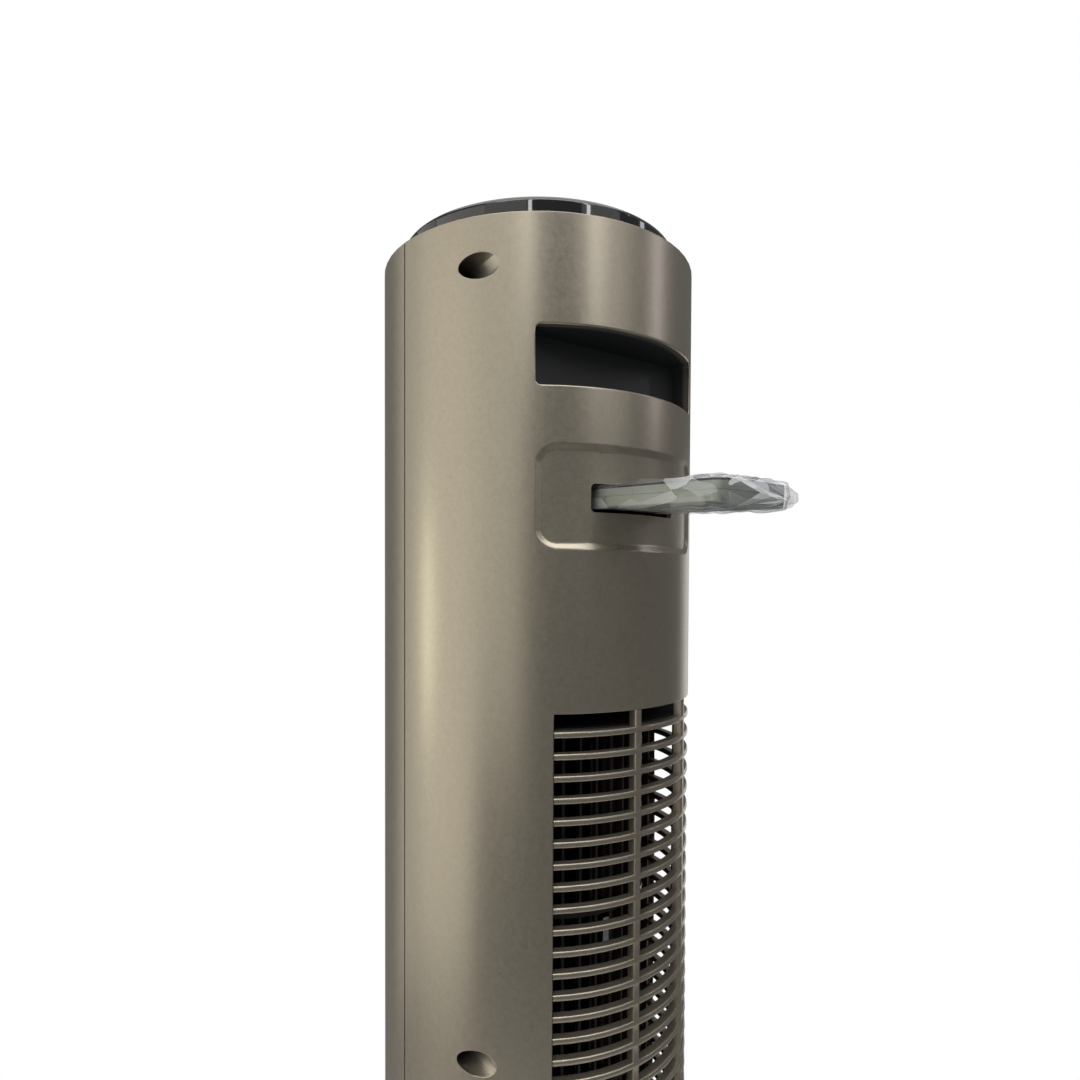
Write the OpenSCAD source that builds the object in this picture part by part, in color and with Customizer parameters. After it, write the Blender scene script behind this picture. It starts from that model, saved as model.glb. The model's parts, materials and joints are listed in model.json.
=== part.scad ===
// Tower fan: a round column with a cross-flow blower on an oscillating foot, its remote
// control parked in a slot in its back. The floor is z = 0, the outlet faces -Y, the intake
// grille faces +Y, and +Z is up. All sizes are in millimetres.

/* [Body] */
// Outer diameter of the round column
body_d = 150; // [135:5:190]
// Height of the two long shells
shell_h = 1020; // [840:10:1240]
// Wall of the two long shells
shell_wall = 2.5; // [2:0.1:3.2]
// Distance of the parting plane behind the column's axis
split_y = 5; // [3:0.5:8]
// Width of the seam between the two shells
seam_gap = 0.8; // [0.3:0.1:1]
// Height of the column's lower edge above the floor
shell_z = 62; // [58:1:80]

/* [Shell screws] */
// Distance of the first and the last screw from the shell's ends
screw_end = 20; // [16:1:30]
// Sideways distance of the screws from the axis
screw_x = 60.5; // [52:0.5:62]
// Diameter of the sunk screw holes
screw_sink_d = 10.4; // [8:0.2:12]
// Diameter of the screw shanks
screw_d = 3.5; // [3:0.1:4]

/* [Carry handle] */
// Distance of the handle pocket's ceiling below the rim
handle_drop = 44.5; // [35:0.5:60]
// Height of the handle pocket
handle_h = 23.8; // [20:0.2:32]
// Depth of the handle pocket behind the shell's surface
handle_depth = 25; // [18:0.5:30]
// Half of the angle that the handle and the recessed panel span
back_angle = 36; // [30:1:40]

/* [Remote slot] */
// Distance of the recessed panel's upper edge below the rim
panel_drop = 91.7; // [85:0.1:100]
// Height of the recessed panel
panel_h = 42.4; // [36:0.2:50]
// Depth of the recessed panel
panel_depth = 1.3; // [0.8:0.1:1.8]
// Width of the sloping lip round the recessed panel
panel_lip = 2.4; // [1.5:0.1:3]
// Distance of the slot's upper edge below the rim
slot_drop = 107.2; // [104:0.1:112]
// Width of the slot
slot_w = 46; // [42:0.5:56]
// Height of the slot
slot_h = 11.7; // [11:0.1:14]
// Wall of the sleeve behind the slot
sleeve_wall = 1.6; // [1.2:0.1:2.4]

/* [Intake grille] */
// Distance of the grille's upper edge below the rim
grille_drop = 201; // [190:1:220]
// Height of the first opening, above the first slat
first_gap = 7.1; // [5:0.1:8]
// Distance from slat to slat
slat_pitch = 9; // [8:0.25:12]
// Thickness of a slat
slat_t = 2.7; // [2:0.1:3.5]
// Depth of the slats, inwards from the shell's surface
slat_depth = 4; // [3:0.25:6]
// Width of the upright ribs
rib_w = 3.4; // [2.5:0.1:5]

/* [Blower] */
// Diameter of the blower wheel
wheel_d = 94; // [80:1:98]
// Sideways offset of the wheel from the column's axis
wheel_offset = 9; // [6:0.5:10]
// Number of wheel segments
segments = 8; // [6:1:10]
// Number of blades around the wheel
blades = 36; // [28:2:40]
// Distance of the wheel's upper disc below the rim
wheel_drop = 215.6; // [212:0.1:222]
// Diameter of the motor shaft
shaft_d = 8; // [6:0.5:10]
// Diameter of the motor's steel cans
motor_d = 82; // [70:1:84]

/* [Remote control] */
// Width of the remote control
remote_w = 38; // [34:0.5:40]
// Length of the remote control
remote_l = 118; // [100:1:124]
// Thickness of the remote control's lower shell
remote_low_h = 4.5; // [4:0.1:5]
// Thickness of the remote control's upper shell
remote_top_h = 4; // [3.6:0.1:4.5]
// Length of remote control that stands out of the slot
remote_out = 59; // [45:1:62]
// Droop of the remote control in its loose slot, in degrees
remote_droop = 2.85; // [1.5:0.05:3]

/* [Base] */
// Diameter of the round base
base_d = 300; // [290:5:360]
// Height of the base's upper face, where the column turns
base_h = 46; // [46:1:52]
// Wall of the base cover
base_wall = 2.5; // [2:0.1:3.5]
// Height of the rubber feet
foot_h = 3; // [2:0.5:5]

/* [Oscillation gears] */
// Module of the two gears
gear_module = 1.25; // [1.1:0.05:1.25]
// Teeth of the fixed gear
gear_teeth = 56; // [52:1:56]
// Teeth of the motor's pinion
pinion_teeth = 14; // [14:1:15]

/* [Hidden] */
$fn = 96;
eps = 0.01;

champagne = [0.56, 0.52, 0.44];
black = [0.06, 0.06, 0.065];
dark = [0.14, 0.14, 0.15];
steel = [0.72, 0.73, 0.75];
bronze = [0.66, 0.47, 0.25];
green = [0.08, 0.3, 0.18];

// Column
body_r = body_d / 2;
inner_r = body_r - shell_wall;
rim_z = shell_z + shell_h;
fit = 0.3;                       // clearance of pieces that only sit inside the shells

// Shell screws: four rows on the plain side, and the end rows alone on the grille's side
screw_step = (shell_h - 2 * screw_end) / 3;
screw_rows = [for (k = [0 : 3]) shell_z + screw_end + k * screw_step];
screw_seat_y = 18;               // where the screw heads seat
screw_tip_y = -8;

// Back openings
back_w = 2 * body_r * sin(back_angle);
handle_top = rim_z - handle_drop;
slot_top = rim_z - slot_drop;
handle_corner = 2.2;
panel_corner = 8;
pocket_wall = 2;

// Intake grille, in angles from the back (+Y), positive towards -X
grille_from = -30;
grille_to = 83;
rib_angles = [0, 30, 60];
grille_top = rim_z - grille_drop;
duct_low = shell_z + 137;        // upper face of the duct's floor
slats = floor((grille_top - first_gap - duct_low - 1) / slat_pitch);
grille_bottom = grille_top - first_gap - slats * slat_pitch;
grille_in = body_r - slat_depth - 0.5;   // inner face of the thicker rim round the grille

// Blower wheel
wheel_r = wheel_d / 2;
wheel_x = -wheel_offset;
wheel_top = rim_z - wheel_drop;
wheel_bottom = duct_low + 11;
disc_t = 2;
segment_l = (wheel_top - wheel_bottom - disc_t) / segments;
roof_z = wheel_top + 5;          // lower face of the duct's roof
plate_t = 3;
shaft_r = shaft_d / 2;
running = 0.05;                  // radial clearance of a shaft in its bush
motor_r = motor_d / 2;
motor_mid = duct_low - 39;       // where the two cans meet
can_h = 30;
lug_r = motor_r + 8;
loom_at = [body_r - 11, -25];
loom_r = 2.5;

// Front outlet
outlet_angle = 38;
outlet_low = duct_low + 22;
outlet_high = wheel_top - 6;

// Oscillation: the post and the gear stand still, the foot carries the motor round them
gear_r = gear_module * gear_teeth / 2;
pinion_r = gear_module * pinion_teeth / 2;
gear_mid = gear_r + pinion_r;
addendum = 0.9;                  // of a tooth, in modules
pressure = 25;
backlash = 0.16;
post_r = 20;
post_bore = 13;
post_top = shell_z - 5;
gear_h = 4.5;
gear_sink = 1.6;                 // of its screw heads
neck_r = gear_mid + pinion_r + addendum * gear_module + 5.5;
turn_gap = 0.1;                  // under the turning foot, and round the post
glide_h = 2.4;
foot_z = base_h + glide_h + turn_gap;
spigot_r = inner_r - fit;

// Base
base_r = base_d / 2;
plate_z = foot_h;
plate_top = plate_z + 2.5;
edge_z = 12;                     // top of the base's upright edge
edge_r = 6;
dome_steep = 20;
dome_flat = 7;
turret_r = neck_r + 5;
dome_reach = base_r - edge_r + edge_r * sin(90 - dome_steep) - turret_r - 2;
dome_r = dome_reach / (sin(dome_steep) - sin(dome_flat));
weight_r = [46, 94];
foot_at = base_r - 16;
boss_at = 101;
weight_h = 8;

// Cap
cap_r = body_r - 8.8;
cap_rise = 11;
cap_top = rim_z + cap_rise;
cap_edge = 2.5;
deck_z = cap_top - 1.2;          // the flat control deck inside the cap's raised edge
deck_r = cap_r - 4;
deck_t = 2.5;
button_r = 5.5;
button_circle = cap_r - 22;
button_travel = 0.6;
board_z = rim_z - 10;
board_t = 1.6;
switch_h = 5;
window = [40, 16];

// Remote control, in its own frame: origin on its seam line at the shell's surface, +Y out
remote_corner = 5;
remote_in = remote_l - remote_out;
remote_wall = 1.5;
seam_z = slot_top - 5.5;
key_r = 3.3;
key_travel = 0.4;
key_clear = 0.3;
film = 0.3;
film_gap = 0.3;
sleeve_play = 1.2;
tail_l = min(15, base_r - body_r - remote_out - 1);

// ---- shared shapes ----

module at_wheel() { translate([wheel_x, 0]) children(); }

module tube(r_out, r_in, h) {
  difference() {
    cylinder(r = r_out, h = h);
    translate([0, 0, -1]) cylinder(r = r_in, h = h + 2);
  }
}

// Turns a section in (radius, z) through angles counted from the back, positive towards -X
module sweep(from, to) { rotate(90 + from) rotate_extrude(angle = to - from) children(); }

module rounded(w, h, r) {
  square([w - 2 * r, h], center = true);
  square([w, h - 2 * r], center = true);
  for (x = [-1, 1]) for (y = [-1, 1])
    translate([x * (w / 2 - r), y * (h / 2 - r)]) circle(r);
}

// A rounded opening or plug that runs along Y, from y0 to y1, around the height z
module back_plug(w, h, r, z, y0, y1) {
  translate([0, y1, z]) rotate([90, 0, 0]) linear_extrude(y1 - y0) rounded(w, h, r);
}

module along_y(x, z, y0, y1) { translate([x, y1, z]) rotate([90, 0, 0]) linear_extrude(y1 - y0) children(); }

// The screws' places: x and z of each
function screw_places() = [
  for (z = screw_rows) [screw_x, z],
  for (z = [screw_rows[0], screw_rows[3]]) [-screw_x, z]
];

// ---- base ----

function arc(cx, cz, r, from, to, n) =
  [for (k = [0 : n]) let (a = from + (to - from) * k / n) [cx + r * sin(a), cz + r * cos(a)]];

// Outline of the cover's outer face, or of its inner face when the wall w is taken off
function cover_outline(w) = concat(
  [[base_r - w, plate_z], [base_r - w, edge_z]],
  arc(base_r - edge_r, edge_z, edge_r - w, 90 - 10, dome_steep, 4),
  arc(turret_r + 2 - dome_r * sin(dome_flat),
      edge_z + edge_r * cos(dome_steep) - dome_r * cos(dome_steep),
      dome_r - w, dome_steep, dome_flat, 12),
  [[turret_r - w, dome_top() - w + 0.6], [turret_r - w, base_h - w]]
);
function dome_top() =
  edge_z + edge_r * cos(dome_steep) + dome_r * (cos(dome_flat) - cos(dome_steep));
function dome_z(r) =
  let (c = turret_r + 2 - dome_r * sin(dome_flat))
  edge_z + edge_r * cos(dome_steep) - dome_r * cos(dome_steep) + sqrt(dome_r * dome_r - (r - c) * (r - c));

module base_cover() {
  color(black)
  difference() {
    union() {
      rotate_extrude() difference() {
        polygon(concat([[post_r + 6.5, plate_z]], cover_outline(0), [[post_r + 6.5, base_h]]));
        polygon(concat([[0, plate_z - 1]], [[base_r - base_wall, plate_z - 1]],
                       cover_outline(base_wall), [[0, base_h - base_wall]]));
      }
      for (a = [30 : 60 : 359]) rotate(a) translate([boss_at, 0, plate_top])
        cylinder(r = 4, h = dome_z(boss_at) - plate_top - base_wall / 2);
    }
    for (a = [30 : 60 : 359]) rotate(a) translate([boss_at, 0, plate_top - 1])
      cylinder(r = 1.5, h = 13);
    for (a = [0 : 90 : 359]) rotate(a) translate([glide_mid(), 0, base_h - base_wall - 1])
      cylinder(r = 2.05, h = base_wall + 2);
    grommet_hole();
  }
}

module grommet_hole() { along_y(0, plate_z + 7, base_r - 12, base_r + 1) circle(4.5); }

module base_plate() {
  color(dark)
  difference() {
    translate([0, 0, plate_z]) cylinder(r = base_r - base_wall - fit, h = plate_top - plate_z);
    for (a = [30 : 60 : 359]) rotate(a) {
      translate([boss_at, 0, plate_z - 1]) cylinder(r = 1.9, h = 5);
      translate([foot_at, 0, plate_z - 1]) cylinder(r = 4, h = 5);
    }
    for (a = [45 : 90 : 359]) rotate(a) for (r = [34, 70])
      translate([r, 0, plate_z - 1]) cylinder(r = 1.9, h = 5);
  }
}

module base_weight() {
  color(steel)
  difference() {
    translate([0, 0, plate_top]) tube(weight_r[1], weight_r[0], weight_h);
    for (a = [45 : 90 : 359]) rotate(a) translate([70, 0, plate_top - 1]) cylinder(r = 1.6, h = 7);
  }
}

module rubber_feet() {
  color(dark)
  for (a = [30 : 60 : 359]) rotate(a) translate([foot_at, 0, 0]) {
    cylinder(r1 = 8, r2 = 9, h = foot_h);
    cylinder(r = 3.95, h = plate_top);
  }
}

module pan_screw(r, l, head_r, head_h) {
  cylinder(r = r, h = l);
  translate([0, 0, -head_h]) cylinder(r = head_r, h = head_h);
}

module base_screws() {
  color(steel) {
    for (a = [30 : 60 : 359]) rotate(a) translate([boss_at, 0, plate_z]) pan_screw(1.45, 12, 3.2, 1.8);
    for (a = [45 : 90 : 359]) rotate(a) {
      translate([70, 0, plate_z]) pan_screw(1.55, 7, 3.2, 1.8);
      translate([34, 0, plate_z]) pan_screw(1.55, 6, 3.2, 1.8);
    }
  }
}

module pivot_post() {
  color(dark)
  difference() {
    union() {
      translate([0, 0, plate_top]) tube(42, post_bore, 4);
      translate([0, 0, plate_top]) tube(post_r, post_bore, post_top - plate_top);
      for (a = [0 : 60 : 359]) rotate(a) translate([post_r - 1, -1, plate_top + 4 - eps])
        rotate([90, 0, 90]) rotate([0, -90, 0]) linear_extrude(2, center = true)
          polygon([[0, 0], [0, 18], [18, 0]]);
    }
    for (a = [45 : 90 : 359]) rotate(a) translate([34, 0, plate_top - 1]) cylinder(r = 1.6, h = 7);
    for (a = [0 : 120 : 359]) rotate(a) translate([post_r - 3.5, 0, post_top - 12]) cylinder(r = 1.25, h = 13);
  }
}

function glide_mid() = neck_r - 6;

module glide_ring() {
  color([0.85, 0.85, 0.82]) {
    translate([0, 0, base_h]) tube(glide_mid() + 3, glide_mid() - 3, glide_h);
    for (a = [0 : 90 : 359]) rotate(a) translate([glide_mid(), 0, base_h - 2]) cylinder(r = 2, h = 3);
  }
}

module cord_grommet() {
  color(dark)
  along_y(0, plate_z + 7, base_r - 8, base_r - 0.2) difference() {
    circle(4.45);
    circle(3);
  }
}

// ---- oscillation gears ----

function polar(r, a) = [r * cos(a), r * sin(a)];
function roll(a) = tan(a) * 180 / PI - a;          // the involute's angle at pressure angle a

// One flank's points, from the root to the tip, as angles from the tooth's middle
function flank(n, side) =
  let (rp = gear_module * n / 2, rb = rp * cos(pressure),
       half = 90 / n - backlash / 2 / rp * 180 / PI,
       tip = rp + addendum * gear_module, root = rp - 1.15 * gear_module, low = max(rb, root))
  concat(
    [polar(root, side * (half + roll(pressure) - roll(acos(rb / low))))],
    [for (k = [0 : 4]) let (r = low + (tip - low) * k / 4, a = acos(min(1, rb / r)))
      polar(r, side * (half + roll(pressure) - roll(a)))]
  );

module gear_outline(n) {
  circle(gear_module * n / 2 - 1.15 * gear_module + 0.02);
  for (k = [0 : n - 1]) rotate(360 * k / n) {
    left = flank(n, 1);
    right = flank(n, -1);
    polygon(concat([[0, 0]], right, [for (j = [len(left) - 1 : -1 : 0]) left[j]]));
  }
}

module fixed_gear() {
  color([0.9, 0.89, 0.84])
  translate([0, 0, post_top]) difference() {
    linear_extrude(gear_h) difference() {
      gear_outline(gear_teeth);
      circle(post_bore);
    }
    for (a = [0 : 120 : 359]) rotate(a) translate([post_r - 3.5, 0, 0]) {
      translate([0, 0, -1]) cylinder(r = 1.3, h = gear_h + 2);
      translate([0, 0, gear_h - gear_sink]) cylinder(r = 2.8, h = gear_sink + 1);
    }
  }
}

module gear_screws() {
  color(steel)
  for (a = [0 : 120 : 359]) rotate(a) translate([post_r - 3.5, 0, post_top + gear_h - gear_sink])
    rotate([180, 0, 0]) pan_screw(1.2, gear_h + 6, 2.6, 1.2);
}

// The pinion stands at the back of the fixed gear, turned so that a gap meets a tooth
module swing_pinion() {
  color([0.9, 0.89, 0.84])
  translate([0, gear_mid, 0]) {
    translate([0, 0, post_top + 0.2]) linear_extrude(gear_h - 0.4)
      rotate(-90 + (gear_teeth / 4 % 1 + 0.5) * 360 / pinion_teeth) gear_outline(pinion_teeth);
    translate([0, 0, post_top + gear_h - 0.4]) cylinder(r = 3.5, h = shell_z + 2.5 - post_top - gear_h + 0.4);
  }
}

module gear_plate() {
  color(steel)
  difference() {
    translate([0, 0, shell_z]) cylinder(r = spigot_r - 2.7, h = 2.5);
    translate([0, 0, shell_z - 1]) cylinder(r = post_bore, h = 5);
    translate([0, gear_mid, shell_z - 1]) cylinder(r = 5, h = 5);
    for (a = [45 : 90 : 359]) rotate(a) translate([neck_r + 3.5, 0, shell_z - 1]) cylinder(r = 1.7, h = 5);
  }
}

module swing_motor() {
  color(steel)
  translate([0, gear_mid - 4, shell_z + 2.5]) {
    translate([0, 0, 1]) cylinder(r = 15, h = 18);
    linear_extrude(1) difference() {
      union() {
        rounded(44, 8, 3.9);
        circle(15);
      }
      for (x = [-1, 1]) translate([x * 18, 0]) circle(1.7);
    }
    translate([-7, -17, 3]) cube([14, 6, 12]);
  }
}

module tower_foot() {
  color(black)
  difference() {
    rotate_extrude() polygon([
      [post_r + turn_gap, base_h - 16], [post_r + 5, base_h - 16], [post_r + 5, foot_z], [neck_r, foot_z],
      [neck_r, shell_z - 3], [body_r - 0.4, shell_z - 3], [body_r - 0.4, shell_z], [spigot_r, shell_z],
      [spigot_r, shell_z + 12], [spigot_r - 2.5, shell_z + 12], [spigot_r - 2.5, shell_z],
      [neck_r - 2.5, shell_z], [neck_r - 2.5, foot_z + 3], [post_r + 5, foot_z + 3],
      [post_r + 5, post_top - turn_gap], [post_r + turn_gap, post_top - turn_gap]
    ]);
    for (a = [45 : 90 : 359]) rotate(a) translate([neck_r + 3.5, 0, shell_z - 8]) cylinder(r = 1.4, h = 9);
  }
}

// ---- shells ----

module screw_bosses(r, y0, y1) {
  for (p = screw_places()) along_y(p[0], p[1], y0, y1) circle(r);
}

module behind_split(y) { translate([-body_r - 1, y, shell_z - 1]) cube([body_d + 2, body_d, shell_h + 2]); }

// A slat's section: its outer edges are rounded over
module slat_section() {
  r = body_r - 0.05;
  polygon([[body_r - slat_depth, 0], [r - 0.7, 0], [r - 0.2, 0.2], [r, 0.7],
           [r, slat_t - 0.7], [r - 0.2, slat_t - 0.2], [r - 0.7, slat_t], [body_r - slat_depth, slat_t]]);
}

// An upright rib's outline seen from above
module rib_outline() {
  r = body_r - 0.1;
  h = rib_w / 2;
  polygon([[grille_in + 0.2, -h], [r - 0.7, -h], [r - 0.25, 0.2 - h], [r, 0.6 - h],
           [r, h - 0.6], [r - 0.25, h - 0.2], [r - 0.7, h], [grille_in + 0.2, h]]);
}

module intake_grille() {
  for (k = [0 : slats - 1]) translate([0, 0, grille_top - first_gap - slat_t - k * slat_pitch])
    sweep(grille_from - 0.6, grille_to + 0.6) slat_section();
  for (a = rib_angles) translate([0, 0, grille_bottom - 1]) rotate(90 + a)
    linear_extrude(grille_top - grille_bottom + 2) rib_outline();
}

module rear_shell() {
  color(champagne)
  union() {
    difference() {
      union() {
        intersection() {
          translate([0, 0, shell_z]) tube(body_r, inner_r, shell_h);
          behind_split(split_y + seam_gap / 2);
        }
        translate([0, 0, grille_bottom - 4]) sweep(grille_from - 2, grille_to + 1.6)
          translate([grille_in, 0]) square([inner_r + 0.1 - grille_in, grille_top - grille_bottom + 8]);
        translate([0, 0, rim_z - panel_drop - panel_h - 2]) sweep(-back_angle - 2, back_angle + 2)
          translate([inner_r - panel_depth, 0]) square([panel_depth + 0.1, panel_h + 4]);
        intersection() {
          screw_bosses(screw_sink_d / 2 + 1.8, split_y + seam_gap / 2, body_r);
          translate([0, 0, shell_z]) cylinder(r = body_r - 0.5, h = shell_h);
        }
        intersection() {
          translate([-back_w / 2 - pocket_wall, body_r - handle_depth - pocket_wall, handle_top - handle_h - pocket_wall])
            cube([back_w + 2 * pocket_wall, handle_depth, handle_h + 2 * pocket_wall]);
          cylinder(r = body_r - 0.5, h = rim_z);
        }
      }
      screw_bosses(screw_sink_d / 2, screw_seat_y, body_r + 1);
      screw_bosses(screw_d / 2 + 0.4, split_y - 1, screw_seat_y + 1);
      back_plug(back_w, handle_h, handle_corner, handle_top - handle_h / 2, body_r - handle_depth, body_r + 1);
      back_plug(slot_w, slot_h, 1.8, slot_top - slot_h / 2, body_r - 12, body_r + 1);
      panel_recess();
      translate([0, 0, grille_bottom]) sweep(grille_from, grille_to)
        translate([inner_r - 4, 0]) square([shell_wall + 8, grille_top - grille_bottom]);
    }
    intake_grille();
  }
}

// The recess is cut in three steps, so that its lip slopes
module panel_recess() {
  steps = 3;
  z = rim_z - panel_drop - panel_h / 2;
  for (k = [1 : steps]) intersection() {
    inset = panel_lip * (k - 1) / (steps - 1);
    back_plug(back_w - 2 * inset, panel_h - 2 * inset, panel_corner - inset, z, 20, body_r + 1);
    translate([0, 0, z - panel_h]) tube(body_r + 2, body_r - panel_depth * k / steps, 2 * panel_h);
  }
}

module front_shell() {
  seat_y = split_y - seam_gap / 2;
  color(champagne)
  difference() {
    union() {
      difference() {
        translate([0, 0, shell_z]) tube(body_r, inner_r, shell_h);
        behind_split(seat_y);
      }
      intersection() {
        translate([0, 0, shell_z + 14]) tube(inner_r + 0.1, inner_r - 1.6, shell_h - 30);
        difference() {
          behind_split(-3);
          behind_split(seat_y);
        }
      }
      intersection() {
        translate([0, 0, shell_z + 14]) tube(inner_r - 0.1, inner_r - 1.6, shell_h - 30);
        difference() {
          behind_split(seat_y - 1);
          behind_split(seat_y + 1);
        }
      }
      for (p = screw_places()) {
        along_y(p[0], p[1], -12, seat_y) circle(5.5);
        side = p[0] > 0 ? 1 : -1;
        translate([side > 0 ? p[0] : -inner_r - 0.3, -12, p[1] - 1])
          cube([inner_r + 0.3 - abs(p[0]), seat_y + 10, 2]);
      }
      intersection() {
        for (x = [-1, 1]) for (z = [0, 1])
          along_y(x * 34, duct_low - 96 + z * 62, -body_r, -board_y() - 1.6) circle(3);
        cylinder(r = body_r - 0.5, h = rim_z);
      }
    }
    screw_bosses(screw_d / 2 + 0.05, screw_tip_y - 2, split_y + 1);
    translate([0, 0, outlet_low]) sweep(180 - outlet_angle, 180 + outlet_angle)
      translate([inner_r - 4, 0]) square([shell_wall + 8, outlet_high - outlet_low]);
    along_y(0, rim_z - 62, -body_r - 1, -inner_r + 2) circle(4);
    for (x = [-1, 1]) for (z = [0, 1])
      along_y(x * 34, duct_low - 96 + z * 62, -board_y() - 8, -board_y()) circle(1.3);
  }
}

// The outlet's insert: a frame, upright bars, and hoops behind them
module front_grille() {
  z0 = outlet_low + fit;
  h = outlet_high - outlet_low - 2 * fit;
  a = outlet_angle - 0.25;
  bars = 15;
  hoops = 9;
  back = inner_r - 1.5;
  face = body_r - 0.6;
  color(black)
  translate([0, 0, z0]) union() {
    difference() {
      sweep(180 - a, 180 + a) translate([back, 0]) square([face - back, h]);
      translate([0, 0, 4]) sweep(183 - a, 177 + a) translate([back - 2, 0]) square([face - back + 4, h - 8]);
    }
    for (k = [1 : bars]) rotate(270 + (2 * k / (bars + 1) - 1) * (a - 2))
      translate([back + 0.3, -0.8, 1]) cube([face - back - 0.6, 1.6, h - 2]);
    for (k = [1 : hoops]) translate([0, 0, k * h / (hoops + 1) - 1]) sweep(181 - a, 179 + a)
      translate([back + 0.15, 0]) square([1.6, 2]);
  }
}

module shell_screws() {
  color(steel)
  for (p = screw_places()) translate([p[0], screw_seat_y, p[1]]) rotate([90, 0, 0]) difference() {
    pan_screw(screw_d / 2, screw_seat_y - screw_tip_y, 3.6, 2.4);
    for (a = [0, 90]) rotate(a) translate([-2, -0.45, -3]) cube([4, 0.9, 2]);
  }
}

module ir_lens() {
  color([0.2, 0.03, 0.05])
  along_y(0, rim_z - 62, -body_r - 0.4, -inner_r + 1.5) circle(3.9);
}

// ---- air duct ----

// The scroll starts close to the wheel behind it and opens out to the outlet's edge
scroll_from = 32;
scroll_to = -46;
scroll_near = wheel_r + 5.5;
outlet_edge = [(inner_r - 2.9) * sin(outlet_angle), -(inner_r - 2.9) * cos(outlet_angle)];
scroll_far = norm(outlet_edge - [wheel_x, 0]) - 1.2;
function scroll_r(t) = scroll_near + (scroll_far - scroll_near) * t * t;
function scroll_line(off) = [for (k = [0 : 24]) let (t = k / 24)
  [wheel_x, 0] + polar(scroll_r(t) + off, scroll_from + (scroll_to - scroll_from) * t)];

module scroll_wall() {
  inner = scroll_line(-1);
  outer = scroll_line(1);
  start = [wheel_x, 0] + polar(scroll_near, scroll_from);
  mouth = polar(grille_in - 1, 90 + grille_from - 1);
  run = mouth - start;
  color(dark)
  translate([0, 0, duct_low]) linear_extrude(roof_z - duct_low) {
    polygon(concat(inner, [for (k = [24 : -1 : 0]) outer[k]]));
    translate(start) rotate(atan2(run[1], run[0])) translate([-0.4, -1]) square([norm(run), 2]);
    translate(start) circle(1.1);
  }
}

// The tongue parts outgoing from incoming air, close to the wheel on the other side
module tongue() {
  edge = [-outlet_edge[0], outlet_edge[1]];
  nose = [wheel_x, 0] + polar(wheel_r + 6, 246);
  run = nose - edge;
  color(dark)
  translate([0, 0, duct_low]) linear_extrude(roof_z - duct_low) {
    translate(edge) rotate(atan2(run[1], run[0])) translate([0, -1]) square([norm(run), 2]);
    translate(nose) circle(2);
    translate([wheel_x, 0]) rotate(222)
      polygon(concat([for (k = [0 : 6]) polar(wheel_r + 7, k * 4)], [for (k = [6 : -1 : 0]) polar(wheel_r + 5, k * 4)]));
  }
}

module duct_plate(z) {
  translate([0, 0, z]) difference() {
    cylinder(r = grille_in - fit, h = plate_t);
    translate([loom_at[0], loom_at[1], -1]) cylinder(r = 4, h = plate_t + 2);
  }
}

module duct_floor() {
  color(dark)
  difference() {
    union() {
      duct_plate(duct_low - plate_t);
      at_wheel() for (a = [45 : 90 : 359]) rotate(a)
        translate([lug_r, 0, motor_mid + 5]) cylinder(r = 5, h = duct_low - 1 - motor_mid - 5);
    }
    at_wheel() translate([0, 0, duct_low - plate_t - 1]) cylinder(r = shaft_r + 5, h = plate_t + 2);
    at_wheel() for (a = [45 : 90 : 359]) rotate(a)
      translate([lug_r, 0, motor_mid]) cylinder(r = 1.5, h = 20);
  }
}

module duct_roof() {
  color(dark)
  difference() {
    union() {
      duct_plate(roof_z);
      at_wheel() translate([0, 0, roof_z]) cylinder(r = 17, h = 13);
      for (p = [[-44, 31], [40, -40]]) translate([p[0], p[1], roof_z]) cylinder(r = 7, h = 12);
    }
    at_wheel() translate([0, 0, roof_z + 2]) cylinder(r = 14, h = 12);
    at_wheel() translate([0, 0, roof_z - 1]) cylinder(r = 6, h = 5);
  }
}

module bush_mount() { color([0.1, 0.1, 0.1]) at_wheel() translate([0, 0, roof_z + 2.05]) tube(13.95, 8.05, 10); }

module top_bush() { color(bronze) at_wheel() translate([0, 0, roof_z + 2.55]) tube(8, 3 + running, 9); }

// ---- motor and wheel ----

module can(z, up) {
  at_wheel() translate([0, 0, z]) mirror([0, 0, up ? 0 : 1]) difference() {
    union() {
      cylinder(r = motor_r, h = can_h);
      for (a = [45 : 90 : 359]) rotate(a) {
        translate([0, -6, 0]) cube([lug_r, 12, 1.5]);
        translate([lug_r, 0, 0]) cylinder(r = 6, h = 1.5);
      }
    }
    translate([0, 0, -1]) cylinder(r = motor_r - 1.5, h = can_h - 1);
    translate([0, 0, can_h - 3]) cylinder(r = 8, h = 4);
    for (a = [45 : 90 : 359]) rotate(a) translate([lug_r, 0, -1]) cylinder(r = 4, h = 4);
    for (a = [0 : 30 : 359]) rotate(a) translate([motor_r - 14, 0, can_h - 3]) cylinder(r = 3, h = 4);
  }
}

module motor_lower_can() { color(steel) can(motor_mid, false); }
module motor_upper_can() { color(steel) can(motor_mid, true); }

module stator() {
  color([0.6, 0.35, 0.2])
  at_wheel() translate([0, 0, motor_mid - 18]) {
    linear_extrude(36) difference() {
      circle(motor_r - 1.6);
      circle(motor_r - 7);
    }
    for (a = [0 : 45 : 359]) rotate(a) {
      translate([21.5, -4, 4]) cube([motor_r - 7 - 21, 8, 28]);
      translate([24, -5.5, 2]) cube([motor_r - 7 - 24.5, 11, 32]);
    }
  }
}

module motor_bushes() {
  color(bronze) at_wheel() for (z = [motor_mid - can_h, motor_mid + can_h - 8])
    translate([0, 0, z]) tube(7.95, shaft_r + running, 8);
}

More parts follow.
